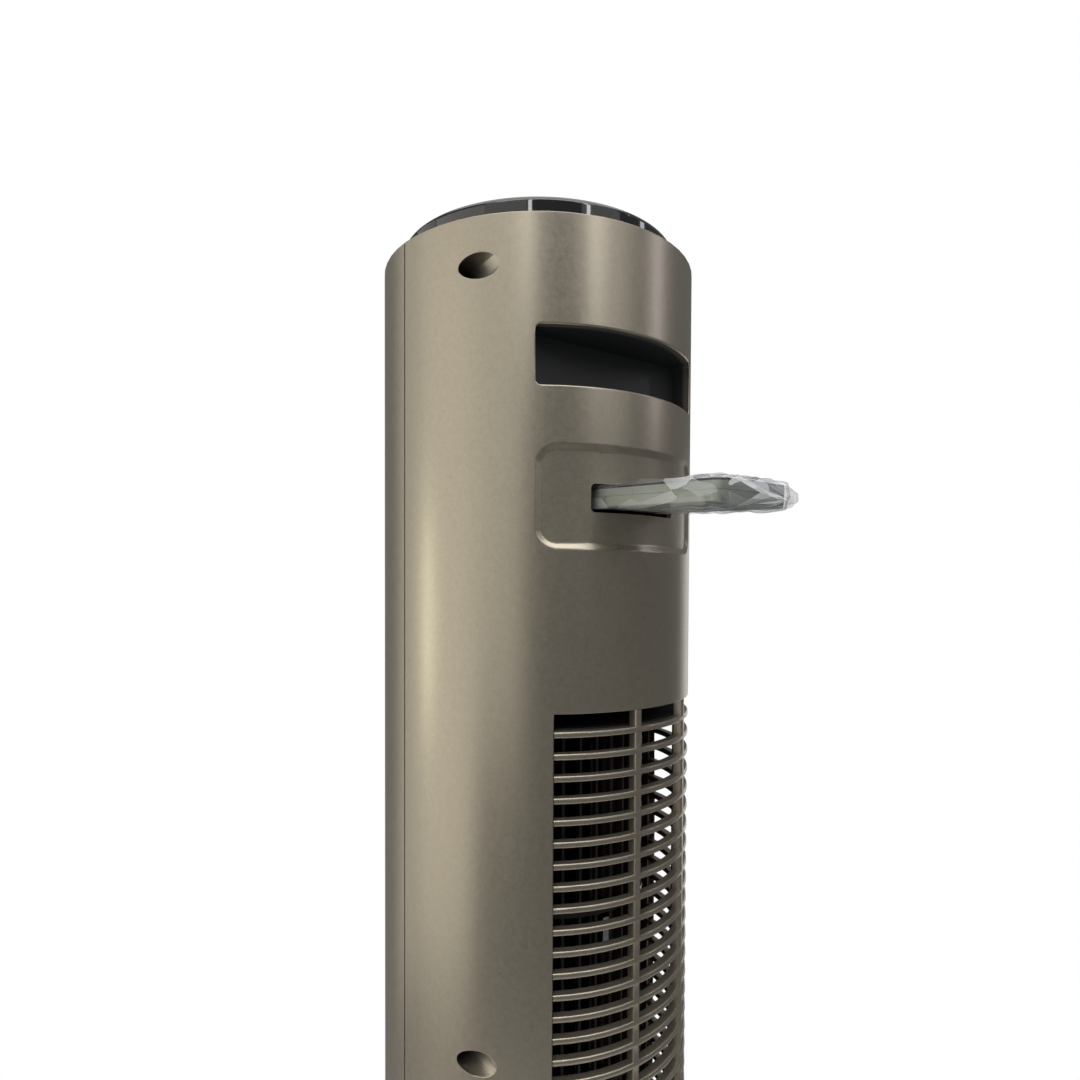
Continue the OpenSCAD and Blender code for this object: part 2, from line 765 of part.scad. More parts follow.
module motor_dampers() {
  color([0.1, 0.1, 0.1])
  at_wheel() for (a = [45 : 90 : 359]) rotate(a) translate([lug_r, 0, motor_mid - 5]) {
    tube(3.95, 2.1, 9.95);
    translate([0, 0, 6.55]) tube(6, 2.1, 3.4);
    tube(6, 2.1, 3.4);
  }
}

module motor_screws() {
  color(steel)
  at_wheel() for (a = [45 : 90 : 359]) rotate(a) translate([lug_r, 0, motor_mid - 5.05])
    pan_screw(1.45, 22, 4.5, 2);
}

module motor_rotor() {
  color([0.5, 0.5, 0.52])
  at_wheel() translate([0, 0, motor_mid - 16]) tube(21, shaft_r + 0.02, 32);
}

module motor_shaft() {
  color(steel)
  at_wheel() translate([0, 0, motor_mid - can_h - 6])
    cylinder(r = shaft_r, h = wheel_bottom + 6 - motor_mid + can_h + 6);
}

module wheel_hub() {
  color(steel)
  at_wheel() translate([0, 0, wheel_bottom - 6]) tube(9.95, shaft_r + 0.02, 13);
}

// A blade's outline: a thin crescent leaning forward, from the wheel's rim inwards
module blade_outline() {
  points = 4;
  curve = [for (k = [0 : points]) let (t = k / points) polar(wheel_r - 0.5 - 11 * t, 9 * t * t - 3 * t)];
  back = [for (k = [points : -1 : 0]) let (t = k / points)
    polar(wheel_r - 0.5 - 11 * t, 9 * t * t - 3 * t + 1.5 + 0.4 * t)];
  polygon(concat(curve, back));
}

module blower_wheel() {
  color(black)
  at_wheel() union() {
    translate([0, 0, wheel_bottom + 0.5]) linear_extrude(wheel_top - wheel_bottom - 1)
      for (k = [0 : blades - 1]) rotate(360 * k / blades) blade_outline();
    for (k = [1 : segments - 1]) translate([0, 0, wheel_bottom + k * segment_l]) tube(wheel_r, wheel_r - 13, disc_t);
    translate([0, 0, wheel_bottom]) tube(wheel_r, 10, disc_t);
    translate([0, 0, wheel_top - disc_t]) tube(wheel_r, 3.02, disc_t);
    translate([0, 0, wheel_top - 14]) tube(8, 3.02, 13);
  }
}

module top_stub() {
  color(steel)
  at_wheel() translate([0, 0, wheel_top - 14]) cylinder(r = 3, h = roof_z + 12 - wheel_top + 14);
}

// A spring steel clip pinched over the rim of one segment disc balances the wheel
module balance_clip() {
  a = round(86 * blades / 360) * 360 / blades - 3.6;
  color(steel)
  at_wheel() translate([0, 0, wheel_bottom + (segments - 1) * segment_l - 15]) rotate(a) linear_extrude(13)
    difference() {
      translate([wheel_r - 5, -1.6]) square([5.6, 3.2]);
      translate([wheel_r - 6, -1.1]) square([6, 2.2]);
    }
}

// ---- electrics ----

function board_y() = sqrt(pow(inner_r - 1.5, 2) - 42 * 42) + 1.2;

module power_board() {
  color(green)
  translate([-40, -board_y() - 1.6, duct_low - 101]) cube([80, 1.6, 72]);
  color(dark) {
    translate([-30, -board_y() - eps, duct_low - 90]) cube([26, 13, 22]);
    translate([6, -board_y() - eps, duct_low - 88]) cube([16, 12, 16]);
    for (x = [-26, -12, 2, 16]) translate([x, -board_y() - eps, duct_low - 52]) cube([10, 9, 12]);
  }
}

module capacitor() {
  color([0.2, 0.2, 0.22])
  translate([motor_r - wheel_offset + 4, -12, duct_low - plate_t - 26]) cube([20, 24, 26]);
}

module wire_loom() {
  top = board_z - 4;
  low = duct_low - 40;
  bend = 8;
  bite = 0.2;                    // how far the straight runs reach into the bend
  color(dark) {
    translate([loom_at[0], loom_at[1], low]) cylinder(r = loom_r, h = top - bend - low + bite);
    translate([loom_at[0] - bend, loom_at[1], top - bend]) rotate([90, 0, 0])
      rotate_extrude(angle = 90) translate([bend, 0]) circle(loom_r - 0.05);
    translate([loom_at[0] - bend + bite, loom_at[1], top]) rotate([0, -90, 0]) cylinder(r = loom_r, h = 14);
    straight_run([loom_at[0], loom_at[1], low + 3], [41, -board_y() + 6, low - 12], loom_r - 0.3);
  }
}

module straight_run(from, to, r) {
  d = to - from;
  translate(from) rotate([0, acos(d[2] / norm(d)), atan2(d[1], d[0])]) cylinder(r = r, h = norm(d));
}

// ---- cap and controls ----

module cap_section() {
  difference() {
    union() {
      translate([0, rim_z - 0.6]) square([cap_r, cap_rise + 0.6 - cap_edge]);
      square_to(cap_r - cap_edge, rim_z, cap_top);
      translate([cap_r - cap_edge, cap_top - cap_edge]) circle(cap_edge);
      square_to(spigot_r, rim_z - 12, rim_z - 0.6);
    }
    square_to(deck_r, deck_z, cap_top + 1);
    square_to(cap_r - 2.5, rim_z - 13, deck_z - deck_t);
    square_to(spigot_r - 2.5, rim_z - 13, rim_z - 3);
  }
}

module square_to(r, z0, z1) { translate([0, z0]) square([r, z1 - z0]); }

// Places one child at each button's place on the deck's front edge, or at the k-th alone
module at_button(k) { rotate(-90 + (k - 2) * 24) translate([button_circle, 0, 0]) children(); }

module top_cap() {
  color(black)
  difference() {
    rotate_extrude() intersection() {
      cap_section();
      translate([0, rim_z - 20]) square([body_r, 40]);
    }
    for (k = [0 : 4]) at_button(k) translate([0, 0, deck_z - 5]) cylinder(r = button_r + 0.3, h = 8);
    translate([0, 10, deck_z - 5]) linear_extrude(8) rounded(window[0], window[1], 2);
  }
}

module display_window() {
  color([0.1, 0.1, 0.12])
  translate([0, 10, deck_z - deck_t]) linear_extrude(deck_t) rounded(window[0] - 0.3, window[1] - 0.3, 1.9);
}

module control_board() {
  color(green)
  translate([0, 0, board_z]) linear_extrude(board_t) difference() {
    circle(cap_r - 4.5);
    translate([-body_r, 26]) square([body_d, body_r]);
  }
  color(dark) {
    for (k = [0 : 4]) at_button(k) translate([-3, -3, board_z + board_t - eps]) cube([6, 6, switch_h]);
    translate([-17, 4, board_z + board_t - eps]) cube([34, 12, 9]);
  }
}

module panel_button(k) {
  low = board_z + board_t + switch_h + button_travel + 0.05;
  color([0.75, 0.76, 0.78])
  at_button(k) {
    translate([0, 0, deck_z - deck_t - 0.2]) cylinder(r = button_r, h = deck_t + 1);
    translate([0, 0, deck_z - deck_t - 1.25]) cylinder(r = button_r + 1.2, h = 1.2);
    translate([0, 0, low]) cylinder(r = 1.5, h = deck_z - deck_t - 1 - low);
  }
}

module power_button() { panel_button(0); }
module speed_button() { panel_button(1); }
module swing_button() { panel_button(2); }
module timer_button() { panel_button(3); }
module mode_button() { panel_button(4); }

// ---- remote control ----

module in_remote() { translate([0, body_r, seam_z]) rotate([-remote_droop, 0, 0]) children(); }

// An upright plate in the remote's outline, grown by g, from z0 to z1
module remote_block(g, z0, z1) {
  translate([0, remote_out - remote_l / 2, z0]) linear_extrude(z1 - z0)
    rounded(remote_w + 2 * g, remote_l + 2 * g, remote_corner + g);
}

module remote_sleeve() {
  rise = (body_r - sleeve_back()) * tan(remote_droop);
  z0 = slot_top - slot_h - 0.5;
  z1 = seam_z + remote_top_h + rise + sleeve_play;
  w = slot_w + 0.8;
  color(dark)
  intersection() {
    difference() {
      translate([-w / 2 - sleeve_wall, sleeve_back() - sleeve_wall, z0 - sleeve_wall])
        cube([w + 2 * sleeve_wall, body_r - sleeve_back(), z1 - z0 + 2 * sleeve_wall]);
      translate([-w / 2, sleeve_back(), z0]) cube([w, body_r, z1 - z0]);
    }
    cylinder(r = inner_r - panel_depth - 0.1, h = rim_z);
  }
}
function sleeve_back() = body_r - remote_in * cos(remote_droop) - 2;

module remote_lower() {
  color([0.5, 0.52, 0.46])
  in_remote() difference() {
    remote_block(0, -remote_low_h, -0.05);
    remote_block(-remote_wall, -remote_low_h + remote_wall, 1);
  }
}

key_places = [[-8.5, 16], [8.5, 16], [-8.5, 34], [8.5, 34]];

module remote_upper() {
  color(dark)
  in_remote() difference() {
    remote_block(0, 0.05, remote_top_h);
    remote_block(-remote_wall, -1, remote_top_h - remote_wall);
    for (p = key_places) translate([p[0], p[1], -1]) cylinder(r = key_r + key_clear, h = remote_top_h + 2);
  }
}

module remote_board() {
  color(green)
  in_remote() translate([-15, -remote_in + 30, -1]) cube([30, remote_l - 34, 1]);
}

module battery_tray() {
  color(dark)
  in_remote() translate([0, -remote_in + 15, -2.9]) difference() {
    linear_extrude(4.3) rounded(27, 26, 3);
    translate([0, 0, 1]) cylinder(r = 10.1, h = 5);
  }
}

module coin_cell() { color(steel) in_remote() translate([0, -remote_in + 15, -1.85]) cylinder(r = 10, h = 2.5); }

module remote_key(k) {
  color([0.7, 0.7, 0.7])
  in_remote() translate([key_places[k][0], key_places[k][1], key_travel + 0.1]) {
    cylinder(r = key_r, h = remote_top_h + 0.6 - key_travel - 0.1);
    cylinder(r = key_r + 0.8, h = 1);
  }
}

module remote_power_key() { remote_key(0); }
module remote_speed_key() { remote_key(1); }
module remote_swing_key() { remote_key(2); }
module remote_timer_key() { remote_key(3); }

// The clear bag: a close film round the remote, looser outside the slot, with a flat tail
module remote_bag() {
  w = remote_w / 2 + film_gap;
  low = remote_low_h + film_gap;
  loose = remote_top_h + 0.6 + film_gap;
  tight = remote_top_h + 0.15;
  out = remote_out + film_gap;
  color([0.85, 0.87, 0.88, 0.4])
  in_remote() difference() {
    union() {
      translate([-w - film, -remote_in - film_gap - film, -low - film])
        cube([2 * (w + film), remote_l + 2 * film_gap + film, low + tight + 2 * film]);
      translate([-w - film, 5, -low - film]) cube([2 * (w + film), out - 5 + film, low + loose + 2 * film]);
      intersection() {
        translate([0, out, 0]) linear_extrude(40, center = true)
          polygon([[-w, 0], [w, 0], [7, tail_l], [1, tail_l]]);
        translate([-30, 0, 0]) rotate([90, 0, 90]) linear_extrude(60)
          polygon([[out, -low], [out + tail_l, -0.8], [out + tail_l, 0.8], [out, loose]]);
      }
    }
    translate([-w, -remote_in - film_gap, -low]) cube([2 * w, remote_l + 2 * film_gap, low + tight]);
    translate([-w, 5 + film, -low]) cube([2 * w, out - 5 - film, low + loose]);
  }
}

base_cover();
base_plate();
base_weight();
rubber_feet();
base_screws();
pivot_post();
fixed_gear();
gear_screws();
glide_ring();
cord_grommet();
tower_foot();
gear_plate();
swing_motor();
swing_pinion();
rear_shell();
front_shell();
front_grille();
shell_screws();
scroll_wall();
tongue();
duct_floor();
duct_roof();
bush_mount();
top_bush();
motor_lower_can();
motor_upper_can();
stator();
motor_bushes();
motor_dampers();
motor_screws();
motor_rotor();
motor_shaft();
wheel_hub();
blower_wheel();
top_stub();
balance_clip();
power_board();
capacitor();
wire_loom();
top_cap();
display_window();
control_board();
ir_lens();
power_button();
speed_button();
swing_button();
timer_button();
mode_button();
remote_sleeve();
remote_lower();
remote_upper();
remote_board();
battery_tray();
coin_cell();
remote_power_key();
remote_speed_key();
remote_swing_key();
remote_timer_key();
remote_bag();
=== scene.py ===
"""Tower fan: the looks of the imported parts, in the order in which the fan is put together."""

import json
import math

import bmesh
import bpy
from mathutils import Matrix, Vector, noise


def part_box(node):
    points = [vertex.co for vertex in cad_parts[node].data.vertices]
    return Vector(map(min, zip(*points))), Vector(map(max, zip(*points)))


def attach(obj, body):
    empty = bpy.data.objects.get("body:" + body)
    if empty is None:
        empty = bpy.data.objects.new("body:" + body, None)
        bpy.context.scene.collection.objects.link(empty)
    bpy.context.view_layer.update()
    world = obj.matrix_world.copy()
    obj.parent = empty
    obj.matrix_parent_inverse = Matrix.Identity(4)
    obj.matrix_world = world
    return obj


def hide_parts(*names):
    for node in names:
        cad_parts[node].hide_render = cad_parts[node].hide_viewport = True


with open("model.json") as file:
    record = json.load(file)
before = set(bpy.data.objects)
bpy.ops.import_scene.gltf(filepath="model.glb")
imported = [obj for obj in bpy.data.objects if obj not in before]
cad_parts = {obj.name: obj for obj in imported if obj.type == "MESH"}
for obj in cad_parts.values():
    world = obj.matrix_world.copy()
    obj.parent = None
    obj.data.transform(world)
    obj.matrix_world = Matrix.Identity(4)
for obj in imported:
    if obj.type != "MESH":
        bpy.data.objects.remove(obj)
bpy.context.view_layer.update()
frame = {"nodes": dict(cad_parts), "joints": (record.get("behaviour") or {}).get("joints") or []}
nodes = frame["nodes"]


# ---- The view ----
# From behind and from the fan's left, close to the column and a little under the carry
# handle, with a wide lens. The lens is shifted up a little, and nothing is out of focus.

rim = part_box("rear_shell")[1].z
view_azimuth, view_tilt, view_roll = math.radians(144.5), math.radians(1.36), 0.0043
view_distance, view_drop = 0.36975, 0.1495

camera = bpy.data.objects.new("camera", bpy.data.cameras.new("camera"))
camera.data.lens = 24.46
camera.data.shift_x = 0.003
camera.data.shift_y = 0.0598
camera.data.clip_start = 0.01
outward = Vector((math.sin(view_azimuth), -math.cos(view_azimuth), 0))
back = Vector((outward.x, outward.y, math.tan(view_tilt)))
camera.matrix_world = (
    Matrix.Translation(outward * view_distance + Vector((0, 0, rim - view_drop)))
    @ back.to_track_quat("Z", "Y").to_matrix().to_4x4()
    @ Matrix.Rotation(view_roll, 4, "Z")
)
bpy.context.scene.collection.objects.link(camera)
bpy.context.scene.camera = camera


# ---- The studio ----
# A round, pale floor in a white room, with panels of soft light hung round it: large warm
# ones on the fan's left, narrow ones that draw its streaks, and two overhead.

floor_radius = 0.95

bm = bmesh.new()
bmesh.ops.create_circle(bm, cap_ends=True, segments=128, radius=floor_radius)
floor = bpy.data.objects.new("floor", bpy.data.meshes.new("floor"))
bm.to_mesh(floor.data)
bm.free()
bpy.context.scene.collection.objects.link(floor)
floor.data.materials.append(bpy.data.materials.new("floor_paper"))
floor.data.materials[0].use_nodes = True
paper = floor.data.materials[0].node_tree.nodes["Principled BSDF"]
paper.inputs["Base Color"].default_value = (0.86, 0.86, 0.85, 1)
paper.inputs["Roughness"].default_value = 0.8

# A panel that hangs above high_panel looks down at the point at aim_height.
high_panel, aim_height = 1.6, 0.9


def soft_box(name, azimuth, distance, centre, width, height, radiance, tint=(1, 1, 1)):
    """Hangs a lit panel round the fan, facing it level, or tilted down if it hangs high."""
    a = math.radians(azimuth)
    light = bpy.data.lights.new(name, "AREA")
    light.shape = "RECTANGLE"
    light.size, light.size_y = width, height
    light.energy = radiance * math.pi * width * height
    light.color = tint
    box = bpy.data.objects.new(name, light)
    outward = Vector((math.sin(a), -math.cos(a), 0))
    level = centre < high_panel
    aim = outward if level else Vector((*(outward * distance).xy, centre - aim_height))
    box.matrix_world = (
        Matrix.Translation(outward * distance + Vector((0, 0, centre)))
        @ aim.to_track_quat("Z", "Y").to_matrix().to_4x4()
    )
    bpy.context.scene.collection.objects.link(box)


soft_box("wide_box", 78, 1.6, 1.05, 1.36, 2.3, 1.05, (1, 0.97, 0.89))
soft_box("left_box", 41, 1.6, 1.05, 0.75, 2.3, 0.65, (1, 0.97, 0.9))
soft_box("narrow_box", 62, 1.5, 0.86, 0.1, 0.45, 6, (0.98, 1, 0.8))
soft_box("upper_box", 118, 1.6, 1.5, 1.0, 2.0, 0.75, (1, 0.98, 0.9))
soft_box("high_box", 195, 1.4, 1.85, 0.85, 1.3, 0.6)
soft_box("crown_strip", 138, 1.6, 1.95, 0.08, 0.7, 8)
soft_box("far_strip", 184, 1.6, 1.95, 0.08, 0.7, 8)
soft_box("right_strip", 236, 1.6, 1.85, 0.14, 1.1, 4, (0.93, 0.89, 1))
soft_box("right_box", 290, 1.7, 0.6, 0.6, 1.2, 1.1)
soft_box("ceiling", 150, 0.3, 2.6, 2.2, 2.2, 1.6)
soft_box("sky_box", 146, 1.2, 2.75, 2.0, 0.7, 2)


world = bpy.data.worlds.new("white_room")
bpy.context.scene.world = world
world.use_nodes = True
room = world.node_tree
path = room.nodes.new("ShaderNodeLightPath")
dim = room.nodes["Background"]
dim.inputs["Color"].default_value = (0.95, 0.97, 1, 1)
dim.inputs["Strength"].default_value = 0.17
bright = room.nodes.new("ShaderNodeBackground")
bright.inputs["Color"].default_value = (1, 1, 1, 1)
mix = room.nodes.new("ShaderNodeMixShader")
room.links.new(path.outputs["Is Camera Ray"], mix.inputs[0])
room.links.new(dim.outputs[0], mix.inputs[1])
room.links.new(bright.outputs[0], mix.inputs[2])
room.links.new(mix.outputs[0], room.nodes["World Output"].inputs["Surface"])
bpy.context.scene.view_settings.view_transform = "Standard"


# ---- Base plate, weight and feet ----
# A pressed black plastic plate closes the base from below. An iron ring on it keeps the
# fan from tipping, six rubber feet are pushed into it, and steel screws hold it all.


class Value:
    """An output socket of a finish. Sums and products of values add their Math nodes."""

    def __init__(self, finish, socket):
        self.finish, self.socket = finish, socket

    def __add__(self, other):
        return self.finish.math("ADD", self, other)

    def __mul__(self, other):
        return self.finish.math("MULTIPLY", self, other)

    def __sub__(self, other):
        return self.finish.math("SUBTRACT", self, other)

    def __rsub__(self, other):
        return self.finish.math("SUBTRACT", other, self)

    def __gt__(self, other):
        return self.finish.math("GREATER_THAN", self, other)

    __radd__, __rmul__ = __add__, __mul__


class Finish:
    """A material: the Principled shader's fixed numbers, and the nodes of what varies."""

    def __init__(self, name, color, roughness, fixed=()):
        self.material = bpy.data.materials.new(name)
        self.material.use_nodes = True
        self.tree = self.material.node_tree
        self.shader = self.tree.nodes["Principled BSDF"]
        self.color = (*color, 1)
        self.set({"Base Color": self.color, "Roughness": roughness, **dict(fixed)})
        self.place = self.node("TexCoord", {}, {}, "Object")

    def node(self, kind, settings, inputs, output=0):
        """Adds a node, sets it up, feeds its inputs, and returns one of its outputs."""
        node = self.tree.nodes.new("ShaderNode" + kind)
        for key, value in settings.items():
            setattr(node, key, value)
        for key, value in inputs.items():
            self.feed(node.inputs[key], value)
        return Value(self, node.outputs[output])

    def feed(self, socket, value):
        if isinstance(value, Value):
            self.tree.links.new(value.socket, socket)
        else:
            socket.default_value = value

    def set(self, inputs):
        for name, value in inputs.items():
            self.feed(self.shader.inputs[name], value)

    def mix(self, share, a, b):
        return self.node("Mix", {"data_type": "RGBA"}, {0: share, 6: a, 7: b}, 2)

    def math(self, operation, a, b=0.0):
        return self.node("Math", {"operation": operation}, {0: a, 1: b})

    def noise(self, scale, detail=2.0, stretch=(1, 1, 1)):
        """Noise over the piece, from 0 to 1, whose grains are 1/scale metres across."""
        place = self.node("Mapping", {}, {"Vector": self.place, "Scale": stretch})
        return self.node("TexNoise", {}, {"Vector": place, "Scale": scale, "Detail": detail})

    def stretched(self, value, low, high):
        """Stretches a value so that low becomes 0 and high becomes 1, and clips the rest."""
        return self.node("MapRange", {}, {0: value, 1: low, 2: high})

    def bump(self, height, depth):
        """Presses a height of 0 to 1 into the surface, depth metres deep."""
        self.set({"Normal": self.node("Bump", {}, {"Height": height, "Distance": depth})})


def tone(color, factor):
    """The same colour, lighter or darker."""
    return (*(min(c * factor, 1) for c in color[:3]), 1)


def speckled(name, color, roughness, grain, depth, fixed=()):
    """A finish with an even, fine grain: moulded plastic, rubber, cast or rolled metal."""
    finish = Finish(name, color, roughness, fixed)
    fine = finish.noise(grain)
    broad = finish.noise(25, 3)
    finish.set({
        "Base Color": finish.mix(broad, tone(color, 0.82), tone(color, 1.18)),
        "Roughness": (fine + broad) * 0.12 + (roughness - 0.12),
    })
    finish.bump(fine, depth)
    return finish


def wear(finish, *names):
    """Gives CAD nodes a finish in place of the plain one they came with."""
    for name in names:
        for number in range(len(nodes[name].data.materials)):
            nodes[name].data.materials[number] = finish.material


metal = {"Metallic": 1.0}
black_plastic = speckled("black_plastic", (0.018, 0.018, 0.019), 0.42, 2500, 0.00002)
rubber = speckled("rubber", (0.028, 0.028, 0.028), 0.75, 3000, 0.00004)
iron = speckled("cast_iron", (0.16, 0.16, 0.165), 0.6, 600, 0.0003, {"Metallic": 0.8})
steel = speckled("zinc_steel", (0.62, 0.63, 0.66), 0.3, 4000, 0.000005, metal)

wear(black_plastic, "base_plate")
wear(iron, "base_weight")
wear(rubber, "rubber_feet", "cord_grommet")
wear(steel, "base_screws", "gear_screws", "shell_screws", "motor_screws")


# ---- Base cover ----
# One moulding of glossy black plastic: a shallow dome that rises to a turret, where the
# column turns. Handling has dulled its gloss a little.


def glossy(name, roughness):
    """Polished black plastic, with a few specks of dust."""
    finish = Finish(name, (0.012, 0.012, 0.013), roughness)
    dust = finish.stretched(finish.noise(1800, 1), 0.68, 0.8)
    finish.set({
        "Coat Weight": 0.5,
        "Coat Roughness": roughness,
        "Roughness": finish.noise(30) * 0.04 + dust * 0.25 + roughness,
    })
    return finish


wear(glossy("base_gloss", 0.2), "base_cover")


# ---- Pivot and swing drive ----
# A fixed post and gear stand on the base plate. A small synchronous motor on the turning
# foot rolls its pinion round the gear, and the foot slides on an acetal ring.

acetal = speckled("acetal", (0.78, 0.77, 0.72), 0.35, 900, 0.00001)
wear(black_plastic, "pivot_post", "tower_foot")
wear(acetal, "fixed_gear", "swing_pinion", "glide_ring")
wear(steel, "gear_plate", "swing_motor")


# ---- Rear shell ----
# The long rear half of the column, moulded with the handle pocket, the remote control's
# panel and slot, and the intake grille, then sprayed from outside with a satin champagne
# metal lacquer. Deeper into its hollows the colour goes to dark bare plastic, partly where the
# spray stops and partly as painted shade, and the handle pocket's walls darken as painted
# shade. Its lips are rounded, and the panel's slopes.

body_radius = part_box("front_shell")[1].x
skin_depth, recess_depth = 0.0001, 0.0013
lip_radius, panel_lip_radius, handle_lip_radius = 0.0004, 0.0006, 0.0009
sharp_fold = math.radians(55)
panel_bottom = rim - 0.1345
handle_top, handle_bottom = rim - 0.044, rim - 0.069

champagne = Finish("champagne_lacquer", (0.37, 0.33, 0.262), 0.34)
flakes = champagne.noise(1500, 1)
mottle = champagne.noise(420, 2)
clouds = champagne.noise(9, 2, (1, 1, 0.35))
wipes = champagne.noise(160, 2, (0.12, 0.12, 6))
flat_place = champagne.node("Mapping", {}, {"Vector": champagne.place, "Scale": (1, 1, 0)})
from_axis = champagne.node("VectorMath", {"operation": "LENGTH"}, {0: flat_place}, 1)
above_floor = champagne.node("SeparateXYZ", {}, {0: champagne.place}, 2)
in_pocket = (above_floor > handle_bottom) * (handle_top - above_floor > 0)
# Painted shade, partly bare plastic: black from 1.5 mm under the skin, all black by 12 mm deep;
# in the handle pocket it is painted shade alone, from 0.8 mm to 4 mm deep.
bare_and_shade = champagne.math(
    "MAXIMUM",
    champagne.stretched(from_axis, body_radius - 0.0015, body_radius - 0.012),
    champagne.stretched(from_axis, body_radius - 0.0008, body_radius - 0.004) * in_pocket,
)
shade = flakes * 0.35 + mottle * 0.3 + clouds * 0.35
lacquer = champagne.mix(shade, tone(champagne.color, 0.7), tone(champagne.color, 1.3))
champagne.set({
    "Base Color": champagne.mix(bare_and_shade, lacquer, (0.03, 0.032, 0.034, 1)),
    "Metallic": (1 - bare_and_shade) * 0.85,
    "Roughness": flakes * 0.12 + mottle * 0.07 + wipes * 0.06 + bare_and_shade * 0.1 + 0.2,
})
champagne.bump(flakes * 0.6 + mottle * 0.4, 0.00001)


def merged_copy(node):
    """A bmesh of a CAD node whose loose triangles are joined, and whose flats are whole."""
    bm = bmesh.new()
    bm.from_mesh(nodes[node].data)
    bmesh.ops.remove_doubles(bm, verts=bm.verts, dist=1e-6)
    flat = math.radians(0.5)
    bmesh.ops.dissolve_limit(bm, angle_limit=flat, verts=bm.verts, edges=bm.edges)
    return bm


def fold(edge):
    """The angle between an edge's two faces. An open edge counts as sharp."""
    return edge.calc_face_angle(0) if edge.is_manifold else math.pi


def rounded(bm, edges, radius, segments=2):
    """Rounds those edges over."""
    bmesh.ops.bevel(
        bm, geom=edges, offset=radius, segments=segments, profile=0.5, affect="EDGES",
        clamp_overlap=False, loop_slide=True, material=-1,
    )


def finished(name, bm, finish, body, replaced, smooth_below):
    """Makes a bmesh a piece: smooth but for its sharp folds, finished, and on its body."""
    for face in bm.faces:
        face.smooth = True
    for edge in bm.edges:
        edge.smooth = fold(edge) < math.radians(smooth_below)
    mesh = bpy.data.meshes.new(name)
    bm.to_mesh(mesh)
    bm.free()
    piece = bpy.data.objects.new(name, mesh)
    bpy.context.scene.collection.objects.link(piece)
    mesh.materials.append(finish.material)
    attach(piece, body)
    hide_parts(replaced)
    return piece


def true_round(piece):
    """Shades the skin of the column as the true cylinder that its narrow facets stand for."""
    mesh, normals = piece.data, []
    skin_radius, facing_out = body_radius + 0.00003, 0.75
    for face in mesh.polygons:
        for index in face.vertices:
            place = mesh.vertices[index].co
            outwards = Vector((place.x, place.y, 0)).normalized()
            skin = place.xy.length > skin_radius and face.normal.dot(outwards) > facing_out
            normals.append(outwards if skin else Vector())
    mesh.normals_split_custom_set(normals)


def on_skin(vertex):
    return vertex.co.xy.length > body_radius - skin_depth


def skin_lips(bm):
    """The sharp edges where the column's skin ends."""
    return [e for e in bm.edges if all(map(on_skin, e.verts)) and fold(e) > sharp_fold]


def over_panel(vertex):
    """Whether a vertex is no deeper than the recessed panel."""
    return vertex.co.xy.length > body_radius - recess_depth - skin_depth


def on_step(vertex):
    """Whether a vertex is on a step, between the skin and the panel."""
    outermost, innermost = body_radius - 0.0002, body_radius - recess_depth + 0.0002
    return innermost < vertex.co.xy.length < outermost


seam_y = min(v.co.y for v in nodes["rear_shell"].data.vertices if on_skin(v))

bm = merged_copy("rear_shell")

# The steps of the panel's lip give way to one slope between their outermost edges.
steps = [
    f for f in bm.faces
    if f.calc_center_median().z > panel_bottom and f.calc_center_median().y > 0
    and any(map(on_step, f.verts)) and all(map(over_panel, f.verts))
]
bmesh.ops.delete(bm, geom=steps, context="FACES")
slope = bmesh.ops.bridge_loops(bm, edges=[e for e in bm.edges if e.is_boundary])["faces"]
lip = {e for f in slope for e in f.edges if not all(g in slope for g in e.link_faces)}
rounded(bm, list(lip), panel_lip_radius, 3)

sharp = skin_lips(bm)
handle = [
    e for e in sharp
    if all(handle_bottom < v.co.z < handle_top and v.co.y > 0.05 for v in e.verts)
]
rounded(bm, handle, handle_lip_radius, 3)

# Where the two halves of the column meet, their lips stay sharp.
sharp = [e for e in sharp if e.is_valid and e not in handle]
rounded(bm, [e for e in sharp if any(v.co.y > seam_y + 0.0002 for v in e.verts)], lip_radius)
casing = finished("back_casing", bm, champagne, "tower", "rear_shell", 50)
true_round(casing)


# ---- Front shell and outlet ----
# The front half of the column, in the same lacquer. The black outlet insert clips into its
# long opening, and the remote control's receiver looks out through a small lens above it.

bm = merged_copy("front_shell")
sharp = skin_lips(bm)
rounded(bm, [e for e in sharp if any(v.co.y < seam_y - 0.0015 for v in e.verts)], lip_radius)
casing = finished("front_casing", bm, champagne, "tower", "front_shell", 50)
true_round(casing)

bm = merged_copy("front_grille")
bar_front = -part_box("front_grille")[0].y - 0.0012
bars = [
    e for e in bm.edges
    if fold(e) > sharp_fold and all(v.co.xy.length > bar_front for v in e.verts)
]
rounded(bm, bars, 0.0003, 1)
finished("outlet_bars", bm, black_plastic, "tower", "front_grille", 50)

lens_red = Finish("infrared_red", (0.03, 0.002, 0.004), 0.05)
lens_red.set({"Roughness": lens_red.noise(400) * 0.05 + 0.03})
wear(lens_red, "ir_lens")


# ---- Air duct and blower ----
# Two plates and two walls of plain black plastic lead the air from the grille round the
# wheel to the outlet. The wheel is moulded in rings of forward-leaning blades, and turns in
# bronze bushes: two in the motor's steel cans, and one in a rubber mount above it.

wheel_black = speckled("wheel_black", (0.022, 0.018, 0.015), 0.3, 1500, 0.00001)
bronze = speckled("bronze", (0.55, 0.36, 0.16), 0.4, 3000, 0.00002, metal)
copper = speckled("enamelled_copper", (0.5, 0.2, 0.07), 0.35, 2500, 0.0001, {"Metallic": 0.9})
duct_black = speckled("duct_black", (0.009, 0.009, 0.009), 0.6, 1200, 0.00003)

